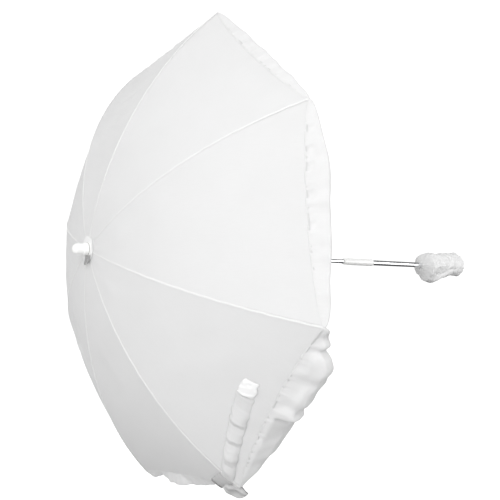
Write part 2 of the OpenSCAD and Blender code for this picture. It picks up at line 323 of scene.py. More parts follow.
def cloth_material(name, light, dark, through, pitch=0.5 * MM, cloud=14.0):
    """Thin nylon: a plain weave, faint clouds in its whiteness, and a share of the light let through."""
    n = Nodes(name)
    place = n.place("cloth")
    clouds = n.noise(place, cloud)
    slubs = n.noise(place, 900.0, 2.0, stretch=(0.06, 1.0, 1.0))
    mixed = n.add("ShaderNodeMath", {0: clouds, 1: slubs, 2: 0.25}, operation="MULTIPLY_ADD")
    colour = n.tint(mixed.outputs[0], grey(dark), grey(light))
    creases = n.bump(n.noise(place, 55.0, 3.0), 0.12, 0.6 * MM)
    normal = n.bump(weave_height(n, place, pitch), 0.25, 0.08 * MM, creases)
    skin = n.add("ShaderNodeBsdfPrincipled", {
        "Base Color": colour, "Roughness": n.between(clouds, 0.62, 0.78), "Normal": normal,
        "Sheen Weight": 0.25, "Sheen Roughness": 0.5, "Specular IOR Level": 0.3})
    glow = n.add("ShaderNodeBsdfTranslucent", {"Color": colour, "Normal": creases})
    return n.finish(n.mix(through, skin, glow))


def plastic_material(name, light, dark, roughness, coat=0.0):
    """Moulded plastic: faint flow marks, fine surface grain and scuffs."""
    n = Nodes(name)
    place = n.place()
    flow = n.noise(place, 60.0, 3.0, stretch=(1.0, 2.5, 2.5))
    grain = n.noise(place, 2600.0, 2.0)
    scuffs = n.noise(place, 320.0, 6.0)
    shader = n.add("ShaderNodeBsdfPrincipled", {
        "Base Color": n.tint(flow, dark, light),
        "Roughness": n.between(scuffs, roughness - 0.08, roughness + 0.12),
        "Normal": n.bump(grain, 0.15, 0.05 * MM), "Coat Weight": coat, "Coat Roughness": 0.15,
        "Subsurface Weight": 0.06, "Subsurface Radius": (4 * MM, 4 * MM, 4 * MM)})
    return n.finish(shader)


def metal_material(name, light, dark, roughness, streak, wear):
    """Plated or rolled metal: fine streaks, drawn out where streak is small, and duller patches."""
    n = Nodes(name)
    place = n.place()
    streaks = n.noise(place, 700.0, 3.0, stretch=streak)
    patches = n.noise(place, 45.0, 5.0)
    shader = n.add("ShaderNodeBsdfPrincipled", {
        "Base Color": n.tint(patches, dark, light), "Metallic": 1.0,
        "Roughness": n.between(patches, roughness, roughness + wear),
        "Normal": n.bump(streaks, 0.08, 0.03 * MM)})
    return n.finish(shader)


def rubber_material():
    n = Nodes("rubber")
    grain = n.noise(n.place(), 1500.0, 4.0)
    shader = n.add("ShaderNodeBsdfPrincipled", {
        "Base Color": n.tint(grain, grey(0.05), grey(0.13)), "Roughness": 0.7,
        "Normal": n.bump(grain, 0.3, 0.05 * MM)})
    return n.finish(shader)


def film_material():
    """Soft crumpled film: fine crinkles that catch the light, slightly see-through."""
    n = Nodes("wrap_film")
    place = n.place()
    crinkles = n.bump(n.noise(place, 90.0, 4.0), 0.4, 1.0 * MM)
    normal = n.bump(n.noise(place, 1400.0, 3.0), 0.12, 0.1 * MM, crinkles)
    cloud = n.noise(place, 30.0)
    skin = n.add("ShaderNodeBsdfPrincipled", {
        "Base Color": n.tint(cloud, grey(0.91), grey(0.97)), "Roughness": n.between(cloud, 0.45, 0.6),
        "Normal": normal, "Sheen Weight": 0.2, "Sheen Roughness": 0.5})
    glow = n.add("ShaderNodeBsdfTranslucent", {"Color": (*grey(0.9), 1.0), "Normal": normal})
    return n.finish(n.mix(0.25, skin, glow))


CLOTH = cloth_material("canopy_nylon", 0.9, 0.84, through=0.25)
FRILL = cloth_material("frill_nylon", 0.91, 0.84, through=0.2, cloud=40.0)
BINDING = cloth_material("seam_binding", 0.95, 0.9, through=0.1, pitch=0.8 * MM)
STRAP = cloth_material("strap_nylon", 0.81, 0.73, through=0.1, pitch=0.7 * MM, cloud=60.0)
# Grey cloth for painted shade: on the strap's root, where it folds under at the hem, and on the loose end
# at rib 3's tip, where it faces down.
SHADE_GREY_CLOTH = cloth_material("painted_shade_grey", 0.64, 0.5, through=0.05, pitch=1.0 * MM, cloud=90.0)
STRAP_END = cloth_material("strap_end_nylon", 0.97, 0.92, through=0.05, pitch=0.7 * MM)
THREAD = plastic_material("thread", (0.93, 0.93, 0.92), (0.85, 0.85, 0.84), 0.6)
# Dark grey cord for painted shade: the dark line at the strap's root, the shadow along the curled edge of
# the loose end at rib 3's tip, and the gap under the apex patch's lower edge.
SHADE_DARK_CORD = plastic_material("painted_shade_cord", grey(0.4), grey(0.3), 0.7)
GLOSS = plastic_material("white_gloss_plastic", (0.96, 0.96, 0.95), (0.92, 0.92, 0.91), 0.3, coat=0.25)
NYLON = plastic_material("white_nylon", (0.9, 0.9, 0.88), (0.84, 0.84, 0.82), 0.45)
ACETAL = plastic_material("acetal", (0.86, 0.85, 0.79), (0.8, 0.79, 0.72), 0.4)
CHROME = metal_material("chrome_plate", (0.86, 0.87, 0.88), (0.8, 0.81, 0.82), 0.06,
                        streak=(0.04, 1.0, 1.0), wear=0.07)
SPRING = metal_material("spring_steel", (0.62, 0.63, 0.65), (0.5, 0.51, 0.53), 0.25,
                        streak=(0.1, 1.0, 1.0), wear=0.15)
STEEL = metal_material("plated_steel", (0.72, 0.73, 0.74), (0.6, 0.61, 0.62), 0.25,
                       streak=(0.2, 0.2, 0.2), wear=0.2)
RUBBER = rubber_material()
FILM = film_material()


# ---------------------------------------------------------------- baking pieces in place

def follow_gore(piece, i):
    """Bakes the piece's place into its mesh. The ends of gore i's hem are worked out but not used."""
    start, end = on_gore(i, ARC_LEN, 0.0), on_gore(i, ARC_LEN, 1.0)
    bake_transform(piece)
    return piece


# ---------------------------------------------------------------- canopy

PUCKER_DEPTH = 0.16 * MM       # fine puckers along the seams
HEM_FOLD_DEPTH = 0.9 * MM      # soft folds that run in from the hem, slack between the rib tips
UNEVEN_DEPTH = 0.7 * MM        # broad, faint unevenness
SLACK_DEPTH = {4: 1.5 * MM, 5: 1.9 * MM, 6: 1.4 * MM, 7: 0.8 * MM}     # wrinkles across the slacker gores
SLACK_FROM = 0.12              # they begin this far from the apex


def gore_relief(i, s, w):
    """How far the sewn, stretched cloth stands off the smooth gore."""
    width = np.maximum(gore_width(s), 4 * MM)
    middle = np.sin(pi * w)
    from_seam = np.minimum(w, 1 - w) * width
    pucker = np.where(w < 0.5, waves(s, (9 * MM, 13 * MM, 22 * MM), 10 + i),
                      waves(s, (10 * MM, 14 * MM, 19 * MM), 30 + i))
    sewn = np.clip(from_seam / (2 * MM), 0, 1) * np.exp(-from_seam / (9 * MM))
    relief = PUCKER_DEPTH * pucker * sewn
    to_hem = np.maximum(0, ARC_LEN - s)
    folds = waves(w * gore_width(ARC_LEN), (31 * MM, 47 * MM, 83 * MM), 50 + i)
    relief += HEM_FOLD_DEPTH * folds * np.exp(-to_hem / (26 * MM)) * middle
    if i in SLACK_DEPTH:
        slack = waves(s + 0.02 * middle, (25 * MM, 38 * MM), 80 + i)
        relief += SLACK_DEPTH[i] * slack * middle ** 2 * np.clip(s / SLACK_FROM - 1, 0, 1)
    broad = waves(s + 0.4 * w * width, (0.11, 0.17), 70 + i) * waves(w, (0.55, 0.9), 90 + i)
    return relief + UNEVEN_DEPTH * broad * middle ** 2 * np.sin(pi * np.clip(s / ARC_LEN, 0, 1))


def hem_inset(w):
    """How far the hem is cut back from the line between the rib tips."""
    return HEM_CURVE * np.clip(np.sin(pi * w), 0, 1) ** 0.6


def stitches_s(w):
    """Where the frill is sewn on."""
    return ARC_LEN - 1 * MM - hem_inset(w)


def make_gore(i):
    """The cloth of gore i, from the hole round the apex to under the frill."""
    rows, cols = 116, 53
    t = np.linspace(0, 1, rows)[:, None]
    u = np.linspace(-1, 1, cols)[None, :]
    w = np.clip((u + 0.12 * np.sin(pi * u)) / 2 + 0.5, 0, 1) + 0 * t     # closer together by the seams
    end = np.minimum(ARC_LEN + 1 * MM, stitches_s(w) + HEM_OVERLAP)
    s = APEX_S + (end - APEX_S) * t
    relief = gore_relief(i, s, w)
    uv = np.stack([s, (w - 0.5) * gore_width(s)], -1)
    piece = thin_sheet(f"cloth_{i}", on_gore(i, s, w, relief + CLOTH_T / 2),
                       on_gore(i, s, w, relief - CLOTH_T / 2), CLOTH, uv)
    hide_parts(f"gore_{i}")
    return follow_gore(piece, i)


# The frill at each gore, in millimetres and degrees. It has a flat width that carries the gore on, a
# bend, a band that turns down from it, sometimes a rim that turns down further, and a curl. flare is the
# angle at which it leaves the gore, turn the angle of the band and rim_turn that of the rim. From the
# place rolled across the gore onwards it turns down close to its stitches, with the widths and angles
# whose names start with rolled.
# random: how uneven it is
# lobes: place across the gore, half-width, extra flat width, extra lift, extra flare
# ridges: place across the gore, half-width, place from the stitches (0) to the edge (1), height
# dimples: place across the gore, depth
FRILLS = {
    1: {"flat": 29, "band": 5, "flare": 2, "turn": 95,
        "lobes": [(0.31, 0.12, 5, 1.5, 0), (0.8, 0.1, -3, 0, 0)],
        "dimples": [(0.13, 1.5), (0.22, 2.6), (0.30, 3.2), (0.42, 2.8), (0.55, 2.6), (0.68, 1.0)]},
    2: {"flat": 38, "band": 9, "flare": 0, "turn": 66, "rim": 14, "rim_turn": 80, "rolled": 0.52,
        "rolled_flat": 11, "rolled_band": 30, "rolled_turn": 50, "rolled_rim": 27, "rolled_rim_turn": 72,
        "lobes": [(0.06, 0.035, -4, 1, -24), (0.13, 0.02, -8, -4, 0), (0.215, 0.05, 9, 3.5, 3),
                  (0.3, 0.04, 5, -2, 0), (0.47, 0.03, -7, 1, 0)],
        "ridges": [(0.38, 0.07, 0.42, 4.5), (0.2, 0.04, 0.3, 2)], "dimples": [(0.47, 1.5)]},
    3: {"flat": 22, "band": 5, "flare": 3, "turn": 85,
        "lobes": [(0.2, 0.1, -5, 0, -8), (0.62, 0.15, -4, 2, 26), (0.78, 0.05, -8, -2, 0),
                  (0.93, 0.05, 5, 2, 0)],
        "dimples": [(0.3, 1.5), (0.5, 2.0), (0.7, 2.0)]},
    4: {"flat": 26, "band": 5, "flare": 34, "turn": 65, "random": 2.5, "lobes": [(0.85, 0.1, 6, 3, 14)]},
    5: {"flat": 32, "band": 5, "flare": 46, "turn": 50, "random": 3, "lobes": [(0.15, 0.08, 8, 4, 10)]},
    6: {"flat": 26, "band": 5, "flare": 18, "turn": 80, "random": 2.5},
    7: {"flat": 9, "band": 3, "flare": 0, "turn": 95, "random": 0.5},
    8: {"flat": 19, "band": 3, "flare": 0, "turn": 95, "random": 0.7},
}
FRILL_BEND = 5             # millimetres
FRILL_CURL = 8
RIM_BEND = 3
CURL_TURN = 80             # degrees that the curl turns on
FRILL_T = 0.25 * MM


def frill_look(i, w):
    """The frill's six widths at each place across gore i, its flare, turn and rim turn, and its lift."""
    look = FRILLS[i]
    along = w * gore_width(ARC_LEN)
    pinch = np.sin(pi * w) ** 0.5          # it is narrow at the rib tips
    flat, band, rim = (look.get(part, 0) * pinch for part in ("flat", "band", "rim"))
    flare, turn, lift = look["flare"] * pinch, look["turn"] + 0 * w, 0 * w
    rim_turn = look.get("rim_turn", look["turn"]) + 0 * w
    for at, wide, longer, higher, wider in look.get("lobes", ()):
        lobe = bump(w, at, wide)
        flat, lift, flare = flat + longer * lobe, lift + higher * lobe, flare + wider * lobe
    if "rolled" in look:
        rolled = smooth_step((w - look["rolled"] + 0.02) / 0.04)
        rolled_band = look["rolled_band"] * (1 + 0.03 * waves(along, (0.027, 0.041), 100 + i))
        rolled_turn = look["rolled_turn"] + 2.5 * waves(along, (0.033, 0.052), 105 + i)
        flat = flat + (look["rolled_flat"] * pinch ** 1.5 - flat) * rolled
        band = band + (rolled_band * np.sin(pi * w) ** 0.7 - band) * rolled
        rim = rim + (look["rolled_rim"] * pinch - rim) * rolled
        turn = turn + (rolled_turn - turn) * rolled
        rim_turn = rim_turn + (look["rolled_rim_turn"] - rim_turn) * rolled
        lift = lift + 2.0 * bump(w, look["rolled"] - 0.03, 0.03)
    if "random" in look:
        flat = flat + 1.2 * look["random"] * waves(along, (0.043, 0.071), 110 + i) * pinch
        flare = flare + 5 * look["random"] * waves(along, (0.049, 0.083), 120 + i) * pinch
        lift = lift + 0.5 * look["random"] * waves(along, (0.031, 0.057), 130 + i) * pinch
    small = 0.3 + 0.7 * np.minimum(pinch * 1.6, 1)
    widths = (np.maximum(flat, 1.2), FRILL_BEND * small, np.maximum(band, 1), np.minimum(rim, RIM_BEND),
              np.maximum(rim - RIM_BEND, 0), FRILL_CURL * small)
    return np.array(widths) * MM, (flare, turn, rim_turn), lift * MM


def frill_section(i, w, rows):
    """(s, height, length) of the frill's rows at each w: out from the stitches, over a bend and down."""
    widths, (flare, turn, rim_turn), lift = frill_look(i, w)
    flat, length = widths[0], widths.sum(0)
    t = np.linspace(0, 1, rows)[:, None]
    out = t * length
    angles = []
    for k in range(w.size):
        stops = np.cumsum([0, *widths[:, k]]) / length[k]
        at_stops = np.repeat([flare[k], -turn[k], -rim_turn[k]], 2)
        angles.append(np.interp(t[:, 0], stops, [*at_stops, -rim_turn[k] - CURL_TURN]))
    angle = np.radians(np.array(angles).T)
    step = length / (rows - 1)
    first = np.zeros((1, w.size))
    s = stitches_s(w) + np.concatenate([first, np.cumsum(step * np.cos(angle[1:]), 0)])
    height = np.concatenate([first, np.cumsum(step * np.sin(angle[1:]), 0)])
    height += lift * smooth_step(out / flat)
    along = w * gore_width(ARC_LEN)
    pinch = np.sin(pi * w) ** 0.5
    gathers = 0.45 * MM * waves(along, (7 * MM, 9.5 * MM, 13 * MM), 140 + i) * np.exp(-out / (9 * MM))
    folds = 0.9 * MM * waves(along, (23 * MM, 37 * MM, 61 * MM), 160 + i)
    height += (gathers * np.minimum(out / (2 * MM), 1) + folds * np.minimum(out / (15 * MM), 1)) * pinch
    for at, wide, middle, high in FRILLS[i].get("ridges", ()):
        height += high * MM * bump(w, at, wide) * bump(t, middle, 0.09)
    for at, depth in FRILLS[i].get("dimples", ()):
        sway = 0.006 * np.sin(out / (5 * MM))
        height -= depth * MM * bump(w, at + sway, 0.017) * bump(out, 9 * MM, 6 * MM)
    return s, height, length


def frill_width(i):
    """The mean width of the strip that the frill is cut from."""
    widths, _, _ = frill_look(i, np.linspace(0, 1, 60))
    return float(np.mean(widths.sum(0)))


def make_frill(i):
    """The gathered frill along gore i's hem."""
    rows, cols = 34, 170
    w = np.linspace(0, 1, cols)
    s, height, length = frill_section(i, w, rows)
    height = height + gore_relief(i, stitches_s(w), w) + CLOTH_T / 2
    across = np.broadcast_to(w, s.shape)
    t = np.linspace(0, 1, rows)[:, None]
    thick = FRILL_T * np.minimum(0.3 + 6 * t, 1)
    uv = np.stack([t * length, across * gore_width(ARC_LEN)], -1)
    piece = thin_sheet(f"frill_{i}", on_gore(i, s, across, height + thick), on_gore(i, s, across, height),
                       FRILL, uv)
    return follow_gore(piece, i)


def make_hem_stitches(i):
    """The stitches that hold the frill on."""
    w = np.linspace(0.01, 0.99, 200)
    s = stitches_s(w)
    line = on_gore(i, s + 2 * MM, w, gore_relief(i, s, w) + 0.45 * MM)
    up = unit(on_gore(i, s, w, 1 * MM) - on_gore(i, s, w, 0.0))
    stitches, places = stitch_rows(f"hem_stitches_{i}", line, up, [0.0], 0.2 * MM)
    return follow_gore(stitches, i)


def make_seam(i):
    """The felled seam over rib i, narrower by the apex, with a row of stitches along each side."""
    out = rib_out(i)
    s = np.linspace(APEX_S + 3 * MM, ARC_LEN - 1 * MM, 170)
    sway = 0.25 * MM * waves(s, (24 * MM, 41 * MM), 170 + i)
    lift = 0.2 * MM + 0.05 * MM * waves(s, (7 * MM, 12 * MM), 190 + i)
    side = np.cross(out, ALONG)
    x, reach = meridian(s, lift)
    line = np.outer(reach, out) + np.outer(APEX_X + x, ALONG) + np.outer(sway, side)
    turn = s / SPHERE_R
    up = np.outer(np.sin(turn), out) - np.outer(np.cos(turn), ALONG)
    half = 1.5 * MM * (0.4 + 0.6 * np.clip(s / 0.16, 0, 1))
    binding = tube(f"seam_{i}", line, half, 12, BINDING, flat=0.2, up=up)
    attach(binding, f"rib_{i}")
    stitches, _ = stitch_rows(f"seam_stitches_{i}", line, up, [-0.9 * MM, 0.9 * MM], 0.3 * MM)
    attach(stitches, f"rib_{i}")
    return binding


def stitch_rows(name, line, up, rows, height):
    """Short raised stitches in rows beside a line, and each vertex's place along it, from 0 to 1."""
    pitch, length, radius, sides = 3.4 * MM, 2.3 * MM, 0.19 * MM, 5
    shape = ((0.0, -0.6), (0.25, 0.5), (0.75, 0.5), (1.0, -0.6))     # place along it, height in radii
    run = np.concatenate([[0], np.cumsum(np.linalg.norm(np.diff(line, axis=0), axis=1))])
    side = unit(np.cross(np.gradient(line, axis=0), up))
    turn = np.linspace(0, 2 * pi, sides, endpoint=False)
    rings, faces, places = [], [], []
    for row in rows:
        for start in np.arange(4 * MM, run[-1] - length, pitch):
            first = len(rings) * sides
            for share, rise in shape:
                at = start + share * length
                centre, top, beside = (
                    np.array([np.interp(at, run, c[:, k]) for k in range(3)]) for c in (line, up, side))
                centre = centre + beside * row + top * (height + rise * radius)
                ring = np.outer(np.cos(turn), beside) + np.outer(np.sin(turn), top)
                rings.append(centre + radius * ring)
                places += [at / run[-1]] * sides
            last = first + (len(shape) - 1) * sides
            faces += [tuple(f) for f in grid_faces(len(shape), sides, closed=True, first=first)]
            faces += [tuple(range(first, first + sides))[::-1], tuple(range(last, last + sides))]
    return make_mesh(name, np.array(rings), faces, THREAD), np.array(places)


# ---------------------------------------------------------------- tie strap

STRAP_GORE = 2
STRAP_W = 27 * MM
STRAP_FROM = (1.155, 0.98)     # beside the third rib's tip: share across the gore, share along the arc
STRAP_TO = (0.415, 0.864)
STRAP_RUN = 0.19               # its length from the one to the other, for the weave
STRAP_END_AT = 0.9             # where its end piece begins, as a share of that
# how high the strap bunches into pleats, from its root (0) to its end (1), in millimetres
STRAP_PLEATS = [(0.0, 1.5), (0.02, 3.5), (0.07, 2.0), (0.10, 4.5), (0.21, 0.8), (0.27, 6.5),
                (0.32, 4.5), (0.38, 8.5), (0.48, 1.2), (0.525, 6.0), (0.63, 0.9), (0.675, 7.0),
                (0.80, 1.5), (1.0, 0.8)]


def strap_place(t):
    """(share across the gore, metres along the arc) of the strap's middle line."""
    w = STRAP_FROM[0] + (STRAP_TO[0] - STRAP_FROM[0]) * t
    bend = 0.016 * np.sin(pi * t)
    share = STRAP_FROM[1] + (STRAP_TO[1] - STRAP_FROM[1]) * t - bend
    return w, share * ARC_LEN


def strap_layer(name, start, end, rows, over, material):
    """A layer of the strap from start to end along it, over metres above its ribbon."""
    t = np.linspace(start, end, rows)[:, None]
    side = np.linspace(-1, 1, 15)[None, :]
    w, s = strap_place(t)
    taper = 0.78 + 0.27 * np.clip(t * 1.4, 0, 1)
    half = (STRAP_W / 2 + over) * taper * (1 + 0.05 * waves(t, (0.07, 0.12), 7))
    skewed = t + 0.011 * side * np.sin(9 * t + 0.4) + 0.003 * waves(side, (1.3, 2.1), 6)
    places, heights = np.array(STRAP_PLEATS).T
    lift = sum(np.interp(skewed + shift, places, heights) for shift in (-0.006, 0, 0.006)) / 3 * MM
    lift = lift * (1 - 0.85 * np.abs(side) ** 3) + 0.15 * MM * waves(skewed, (0.031, 0.047), 8)
    lift = np.maximum(lift, 0.3 * MM) + over
    s = s + side * half
    w = w + 0 * side
    uv = np.stack([t * STRAP_RUN + 0 * side, side * half], -1)
    thick = 0.5 * MM * (1 - 0.6 * side ** 6)
    piece = thin_sheet(name, on_gore(STRAP_GORE, s, w, lift + thick), on_gore(STRAP_GORE, s, w, lift),
                       material, uv)
    return follow_gore(piece, STRAP_GORE)


def make_strap():
    """The strap's ribbon, gathered into pleats."""
    piece = strap_layer("strap_ribbon", 0, STRAP_END_AT, 150, 0.0, STRAP)
    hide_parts("strap")
    return piece


def make_root_shade():
    """A grey layer over the strap's root: painted shade, where the strap folds under at the hem."""
    return strap_layer("strap_root_shade", -0.035, 0.19, 60, 0.6 * MM, SHADE_GREY_CLOTH)


def make_root_shade_line():
    """A dark cord along the grey layer's lower edge: painted shade, the dark line where the strap folds
    under at the hem.
    """
    side = np.linspace(-1, 1, 20)
    w, s = strap_place(np.full(side.shape, -0.03))
    lift = 2.4 * MM + 1.2 * MM * (1 - np.abs(side) ** 3)
    path = on_gore(STRAP_GORE, s + side * 11.2 * MM, w, lift)
    shade_line = tube("strap_root_shade_line", path, 0.9 * MM, 10, SHADE_DARK_CORD)
    return follow_gore(shade_line, STRAP_GORE)


def make_strap_end():
    """The strap's end, folded over into a loop and pressed flat."""
    turn = np.linspace(0, 1, 34)[:, None]
    side = np.linspace(-1, 1, 17)[None, :]
    start_w, start_s = strap_place(STRAP_END_AT)
    upper = np.clip((turn - 0.38) / 0.24, 0, 1)               # 0 on the lower layer, 1 on the upper one
    forward = np.where(turn < 0.5, turn, 1 - turn) * 2        # out to the fold and back
    reach = 25 * MM * forward
    half = 13 * MM * (1 - 0.3 * forward ** 4) * (1 + 0.05 * waves(turn, (0.23, 0.31), 21))
    w = start_w - reach / gore_width(start_s) + 0 * side
    s = start_s + side * half + 0.8 * MM * waves(turn, (0.19, 0.4), 22)
    dent = bump(side, 0.1, 0.3) * bump(forward, 0.72, 0.1)
    crumple = waves(turn + 0.1 * side, (0.13, 0.21), 23) * (1 - forward)
    lift = 0.6 * MM + 2.6 * MM * upper * (1 - 0.5 * side ** 4) + 0.6 * MM * crumple
    lift = lift + 0.9 * MM * (1 - side ** 2) * upper - 1.6 * MM * dent * upper
    uv = np.stack([reach + 0 * side, side * half], -1)
    thick = 0.5 * MM
    piece = thin_sheet("strap_end", on_gore(STRAP_GORE, s, w, lift + thick),
                       on_gore(STRAP_GORE, s, w, lift), STRAP_END, uv)
    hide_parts("strap_tab")
    return follow_gore(piece, STRAP_GORE)


def make_loose_end():
    """A loose end of cloth at rib 3's tip, its upper edge curled. It is grey for painted shade, where it
    faces down, and a dark cord along that edge paints the shadow under the curl.
    """
    t = np.linspace(0, 1, 30)[:, None]
    side = np.linspace(-1, 1, 17)[None, :]
    start = on_gore(STRAP_GORE, ARC_LEN - 8 * MM, 1.09, 2.5 * MM)
    length, thick = 35 * MM, 0.4 * MM
    run = np.array([0.79, -0.42, -0.44])
    across = np.array([0.50, -0.30, 0.53])
    across = unit(across - run * (across @ run))
    face = np.cross(run, across)
    face *= -np.sign(face @ np.array([0.55, 0.83, 0.3]))
    lean = radians(-34) + 0.35 * np.sin(2.6 * t)
    flat_way = np.cos(lean)[..., None] * across - np.sin(lean)[..., None] * face
    out_way = np.cos(lean)[..., None] * face + np.sin(lean)[..., None] * across
    half = 10.5 * MM * (0.62 + 0.6 * np.sin(2.5 * t + 0.1) - 0.62 * t ** 3)
    bend = 2 * MM * np.sin(3.1 * pi * t) + 0 * side
    curl_from, curl_turn = 0.35, 3.4                           # the upper edge curls over from there on
    roll = np.clip((side - curl_from) / (1 - curl_from), 0, 1) * curl_turn
    beside = np.minimum(side, curl_from) + 0.42 * np.sin(roll)
    raised = 0.42 * (1 - np.cos(roll)) + 0.12 * side ** 2
    points = (start + t[..., None] * length * run + (beside * half)[..., None] * flat_way
              + (raised * half + bend)[..., None] * out_way)
    uv = np.stack([t * length + 0 * side, side * half], -1)
    piece = thin_sheet("hem_scrap", points, points - thick * out_way, SHADE_GREY_CLOTH, uv)
    edge = points[:, -4] + 0.5 * MM * flat_way[:, 0]
    shade_line = tube("hem_scrap_shade_line", edge, 0.7 * MM, 10, SHADE_DARK_CORD)
    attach(shade_line, "rib_3")
    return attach(piece, "rib_3")


# ---------------------------------------------------------------- ties, patch, wire and wrap

TIE_SHARES = (0.2, 0.4, 0.62, 0.82)     # where a thread ties the cloth to the rib, along the arc
TIE_TURNS = (-0.5 * MM, 0.1 * MM, 0.7 * MM)


def make_ties(i):
    """Thread loops that hold the cloth to rib i, three turns at each place."""
    out = rib_out(i)
    side = np.cross(out, ALONG)
    turn = np.linspace(0, 2 * pi, 25)
    wide, high, thread = 2.05 * MM, 2.25 * MM, 0.22 * MM
    loops = []
    for number, share in enumerate(TIE_SHARES):
        for shift in TIE_TURNS:
            angle = (share * ARC_LEN + shift) / SPHERE_R
            up = sin(angle) * out - cos(angle) * ALONG
            centre = (APEX_X + SPHERE_R) * ALONG + (RIB_LINE_R + 0.45 * MM) * up
            path = centre + np.outer(wide * np.cos(turn), side) + np.outer(high * np.sin(turn), up)
            along = np.tile(np.cross(side, up), (len(turn), 1))
            loops.append(tube(f"loop_{i}_{number}_{shift}", path, thread, 6, THREAD, up=along))
    ties = join(f"thread_ties_{i}", loops)
    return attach(ties, f"rib_{i}")


ROSETTE_IN = 6.5 * MM
ROSETTE_OUT = 20 * MM


def dome_x(out):
    """How far along the shaft the round dome lies from its apex, at a distance out from the shaft."""
    return SPHERE_R - np.sqrt(SPHERE_R ** 2 - out ** 2)


def make_rosette():
    """The round patch of cloth over the apex, under the finial. Its lower edge stands off a little."""
    r = np.linspace(ROSETTE_IN, ROSETTE_OUT, 20)[:, None]
    turn = np.linspace(0, 2 * pi, 96, endpoint=False)[None, :]
    edge = ((r - ROSETTE_IN) / (ROSETTE_OUT - ROSETTE_IN)) ** 1.5
    wide = r * (1 + 0.02 * edge * np.sin(5 * turn + 1.2) + 0.01 * edge * np.sin(13 * turn))
    stand = 0.95 * MM + edge * (0.25 * MM * np.sin(9 * turn + 0.7) * edge + 0.1 * MM * np.sin(21 * turn))
    stand = stand + 0.3 * MM * edge + 1.4 * MM * edge * around(turn, -1.35, 0.4)
    y, z = wide * np.cos(turn), wide * np.sin(turn)
    points = np.stack([APEX_X + dome_x(wide) - stand, y, z], -1)
    uv = np.stack([y, z], -1)
    piece = thin_sheet("apex_rosette", points, points + CLOTH_T * ALONG, BINDING, uv, closed=True)
    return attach(piece, "upper_shaft")


def make_apex_shade_loops():
    """Dark loops that hang over the apex patch's lower edge: painted shade in the gap under that edge."""
    t = np.linspace(0, 1, 25)
    hang = np.sin(pi * t)
    loops = []
    for number, (beside, drop) in enumerate([(1.0, 13), (-2.0, 14), (-9.5, 13), (-12.5, 11)]):
        y = (beside + 0.9 * np.cos(pi * t)) * MM
        z = (-9.5 - drop * hang) * MM
        x = APEX_X + dome_x(np.hypot(y, z)) - (2.6 + 2.8 * hang) * MM
        loops.append(tube(f"thread_{number}", np.stack([x, y, z], -1), 0.6 * MM, 8, SHADE_DARK_CORD))
    piece = join("apex_shade_loops", loops)
    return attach(piece, "upper_shaft")


def make_runner_wire():
    """The ring through the stretchers' eyes, in the groove of the runner's crown."""
    low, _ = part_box("runner")
    groove = 4.5 * MM                       # from the crown's end
    turn = np.linspace(0, 2 * pi, 97)
    path = np.stack([0 * turn + low.x + groove, PIVOT_R * np.cos(turn), PIVOT_R * np.sin(turn)], -1)
    wire = tube("runner_wire", path, 0.5 * MM, 10, SPRING, up=np.tile(ALONG, (len(turn), 1)))
    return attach(wire, "runner")


WRAP_LEN = 109 * MM
WRAP_R = 25                # millimetres
MOUTH_R = 5.35             # millimetres, just over the tube
UNDERSIDE = -1.6           # an angle round the shaft
BULGE_AT = -1.75


def wrap_radius(u, turn, soft, sharp, crumple):
    """The wrap's radius in millimetres, u of the way along it and at the angle turn round it."""
    # drawn up underneath towards the far end, with a low bulge by the mouth and a corner at the far end
    radius = WRAP_R + 1.0 * np.cos(2 * (turn - 0.5))
    radius = radius - 7.5 * around(turn, UNDERSIDE, 0.8) * np.clip((u - 0.3) / 0.5, 0, 1)
    radius = radius + 9 * bump(u, 0.2, 0.17) * around(turn, BULGE_AT, 0.5)
    radius = radius + 3.0 * np.clip((u - 0.3) / 0.6, 0, 1) * around(turn, 1.3, 0.6)
    # a ridge along the underside, and the crease beside it
    ridge = -2.0 - 1.1 * (u - 0.2)
    radius = radius + 3.0 * around(turn, ridge, 0.13) * bump(u, 0.4, 0.2)
    radius = radius - 2.6 * around(turn, ridge - 0.33, 0.16) * bump(u, 0.4, 0.22)
    # crumples all over, and gathers at both ends
    radius = radius + 1.6 * soft + 1.5 * sharp + 0.75 * crumple
    gathers = 1.3 * bump(u, 0.97, 0.07) + 0.6 * bump(u, 0.03, 0.05)
    radius = radius + np.sin(7 * turn + 9 * soft) * gathers
    # drawn in to the tube at the mouth, and closed at the far end
    radius = MOUTH_R + (radius - MOUTH_R) * np.clip((u - 0.012) / 0.1, 0, 1) ** 0.6
    open_share = np.clip((1 - u) / 0.08, 0, 1)
    return radius * open_share ** 0.36 + 1.5 * (1 - open_share)


def make_wrap():
    """Soft film bunched round the end of the shaft: a crumpled bag, drawn in where the tube enters it."""
    low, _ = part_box("wrap")
    u = np.linspace(0, 1, 130)[:, None]
    turn = np.linspace(0, 2 * pi, 170, endpoint=False)[None, :]
    all_round = 0 * u
    y, z = WRAP_R * MM * np.cos(turn) + all_round, WRAP_R * MM * np.sin(turn) + all_round
    place = np.stack([u * WRAP_LEN + 0 * turn, y, z], -1)      # on a plain cylinder, where noise is read
    soft = smooth_noise(place / (24 * MM))
    sharp = 1 - np.abs(smooth_noise(place / (30 * MM) + 5)) * 3
    crumple = 1 - np.abs(smooth_noise(place / (13 * MM) + 9)) * 3
    radius = wrap_radius(u, turn, soft, sharp, crumple) * MM
    x = u * WRAP_LEN + 2.0 * MM * smooth_noise(place / (19 * MM) + 11) * np.sin(pi * u)
    x = x - 3 * MM * bump(u, 0.12, 0.05) * around(turn, BULGE_AT, 0.8)      # the bulge leans to the mouth
    x = low.x + 0.5 * MM + np.maximum(x, u * 6 * MM)
    points = np.stack([x, radius * np.cos(turn), radius * np.sin(turn)], -1)
    inner = points - 0.3 * MM * ring_normals(points)
    piece = thin_sheet("wrap_bag", points, inner, FILM, closed=True)
    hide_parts("wrap")
    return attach(piece, "wrap")


